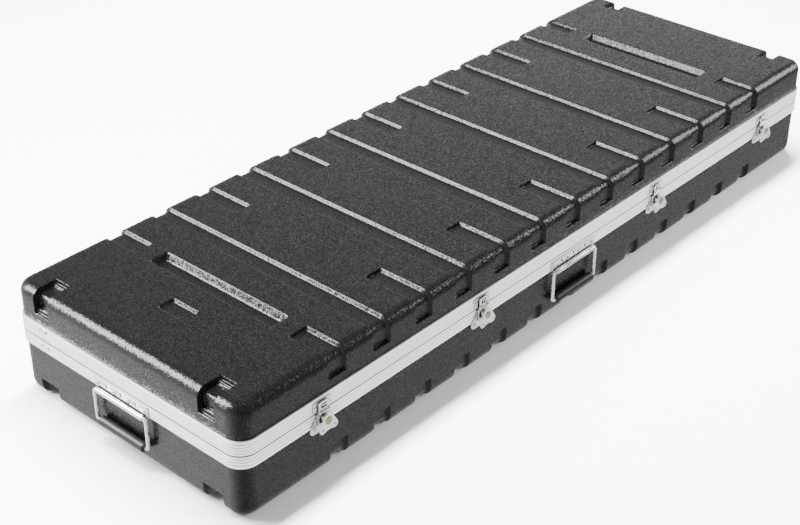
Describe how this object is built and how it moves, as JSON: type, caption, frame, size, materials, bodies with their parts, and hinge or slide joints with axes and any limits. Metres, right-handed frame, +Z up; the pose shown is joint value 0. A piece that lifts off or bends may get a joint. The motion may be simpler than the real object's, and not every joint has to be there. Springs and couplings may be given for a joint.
{
  "type": "keyboard case",
  "caption": "Long moulded keyboard carrying case with a grooved lid, metal valance, turn latches, drop handles and a hinged, foam-lined inside.",
  "frame": {"origin": "middle of the flat underside of the base", "axes": "+X along the case towards the end without the plate recess, +Y from the latches to the hinges, +Z up"},
  "size_m": [1.4786, 0.5088, 0.189],
  "materials": {
    "shell_plastic": "coarse pebble grain, satin",
    "valance_aluminium": "drawn, bright satin",
    "latch_steel": "bright zinc and chrome plate",
    "bail_chrome": "bright chrome",
    "spindle_brass": "worn yellow plate",
    "rivet_steel": "satin",
    "hinge_steel": "satin zinc plate",
    "grip_plastic": "satin, ribbed below",
    "foot_rubber": "matt",
    "foam": "open foam under brushed lining"
  },
  "bodies": {
    "base": {"base_shell": "shell_plastic", "base_valance": "valance_aluminium", "floor_pad": "foam", "front_rail_pad": "foam", "rear_rail_pad": "foam", "left_end_pad": "foam", "right_end_pad": "foam", "hinge_pins": "hinge_steel", "handle_rivets": "rivet_steel", "latch_rivets": "rivet_steel", "hinge_base_rivets": "rivet_steel", "valance_joint_base_rivets": "rivet_steel", "base_rear_feet": "foot_rubber", "hinge_base_leaf_1": "hinge_steel", "hinge_base_leaf_2": "hinge_steel", "hinge_base_leaf_3": "hinge_steel", "latch_plate_1": "latch_steel", "latch_plate_2": "latch_steel", "latch_plate_3": "latch_steel", "latch_plate_4": "latch_steel", "handle_bracket_front": "latch_steel", "handle_bracket_left": "latch_steel", "handle_bracket_right": "latch_steel"},
    "lid": {"lid_shell": "shell_plastic", "lid_valance": "valance_aluminium", "lid_pad": "foam", "keeper_rivets": "rivet_steel", "hinge_lid_rivets": "rivet_steel", "valance_joint_lid_rivets": "rivet_steel", "lid_rear_feet": "foot_rubber", "hinge_lid_leaf_1": "hinge_steel", "hinge_lid_leaf_2": "hinge_steel", "hinge_lid_leaf_3": "hinge_steel", "latch_keeper_1": "latch_steel", "latch_keeper_2": "latch_steel", "latch_keeper_3": "latch_steel", "latch_keeper_4": "latch_steel"},
    "latch_slider_1": {"latch_slider_1": "latch_steel"},
    "latch_hook_1": {"latch_hook_1": "latch_steel"},
    "latch_wing_1": {"latch_wing_1": "latch_steel", "latch_spindle_1": "spindle_brass"},
    "latch_slider_2": {"latch_slider_2": "latch_steel"},
    "latch_hook_2": {"latch_hook_2": "latch_steel"},
    "latch_wing_2": {"latch_wing_2": "latch_steel", "latch_spindle_2": "spindle_brass"},
    "latch_slider_3": {"latch_slider_3": "latch_steel"},
    "latch_hook_3": {"latch_hook_3": "latch_steel"},
    "latch_wing_3": {"latch_wing_3": "latch_steel", "latch_spindle_3": "spindle_brass"},
    "latch_slider_4": {"latch_slider_4": "latch_steel"},
    "latch_hook_4": {"latch_hook_4": "latch_steel"},
    "latch_wing_4": {"latch_wing_4": "latch_steel", "latch_spindle_4": "spindle_brass"},
    "handle_front": {"handle_bail_front": "bail_chrome", "handle_grip_front": "grip_plastic"},
    "handle_left": {"handle_bail_left": "bail_chrome", "handle_grip_left": "grip_plastic"},
    "handle_right": {"handle_bail_right": "bail_chrome", "handle_grip_right": "grip_plastic"}
  },
  "joints": [
    {"name": "lid_hinge", "type": "hinge", "parent": "base", "child": "lid", "pos_m": [0, 0.2455, 0.112], "axis": [-1, 0, 0], "range_deg": [0, 105]},
    {"name": "latch_turn_1", "type": "hinge", "parent": "base", "child": "latch_wing_1", "pos_m": [-0.576, -0.2475, 0.1025], "axis": [0, 1, 0], "range_deg": [0, 180]},
    {"name": "latch_lift_1", "type": "slide", "parent": "base", "child": "latch_slider_1", "axis": [0, 0, 1], "range_m": [0, 0.005]},
    {"name": "latch_tilt_1", "type": "hinge", "parent": "latch_slider_1", "child": "latch_hook_1", "pos_m": [-0.576, -0.2465, 0.1145], "axis": [1, 0, 0], "range_deg": [0, 25]},
    {"name": "latch_turn_2", "type": "hinge", "parent": "base", "child": "latch_wing_2", "pos_m": [-0.232, -0.2475, 0.1025], "axis": [0, 1, 0], "range_deg": [0, 180]},
    {"name": "latch_lift_2", "type": "slide", "parent": "base", "child": "latch_slider_2", "axis": [0, 0, 1], "range_m": [0, 0.005]},
    {"name": "latch_tilt_2", "type": "hinge", "parent": "latch_slider_2", "child": "latch_hook_2", "pos_m": [-0.232, -0.2465, 0.1145], "axis": [1, 0, 0], "range_deg": [0, 25]},
    {"name": "latch_turn_3", "type": "hinge", "parent": "base", "child": "latch_wing_3", "pos_m": [0.232, -0.2475, 0.1025], "axis": [0, 1, 0], "range_deg": [0, 180]},
    {"name": "latch_lift_3", "type": "slide", "parent": "base", "child": "latch_slider_3", "axis": [0, 0, 1], "range_m": [0, 0.005]},
    {"name": "latch_tilt_3", "type": "hinge", "parent": "latch_slider_3", "child": "latch_hook_3", "pos_m": [0.232, -0.2465, 0.1145], "axis": [1, 0, 0], "range_deg": [0, 25]},
    {"name": "latch_turn_4", "type": "hinge", "parent": "base", "child": "latch_wing_4", "pos_m": [0.576, -0.2475, 0.1025], "axis": [0, 1, 0], "range_deg": [0, 180]},
    {"name": "latch_lift_4", "type": "slide", "parent": "base", "child": "latch_slider_4", "axis": [0, 0, 1], "range_m": [0, 0.005]},
    {"name": "latch_tilt_4", "type": "hinge", "parent": "latch_slider_4", "child": "latch_hook_4", "pos_m": [0.576, -0.2465, 0.1145], "axis": [1, 0, 0], "range_deg": [0, 25]},
    {"name": "handle_swing_front", "type": "hinge", "parent": "base", "child": "handle_front", "pos_m": [0, -0.2465, 0.0885], "axis": [-1, 0, 0], "range_deg": [0, 95]},
    {"name": "handle_swing_left", "type": "hinge", "parent": "base", "child": "handle_left", "pos_m": [-0.732, 0, 0.0885], "axis": [0, 1, 0], "range_deg": [0, 95]},
    {"name": "handle_swing_right", "type": "hinge", "parent": "base", "child": "handle_right", "pos_m": [0.732, 0, 0.0885], "axis": [0, -1, 0], "range_deg": [0, 95]}
  ],
  "couplings": [
    {"joint": "latch_turn_1", "follows": "latch_lift_1", "rad_per_m": 628.32},
    {"joint": "latch_tilt_1", "follows": "latch_lift_1", "rad_per_m": 87.266},
    {"joint": "latch_turn_2", "follows": "latch_lift_2", "rad_per_m": 628.32},
    {"joint": "latch_tilt_2", "follows": "latch_lift_2", "rad_per_m": 87.266},
    {"joint": "latch_turn_3", "follows": "latch_lift_3", "rad_per_m": 628.32},
    {"joint": "latch_tilt_3", "follows": "latch_lift_3", "rad_per_m": 87.266},
    {"joint": "latch_turn_4", "follows": "latch_lift_4", "rad_per_m": 628.32},
    {"joint": "latch_tilt_4", "follows": "latch_lift_4", "rad_per_m": 87.266}
  ]
}
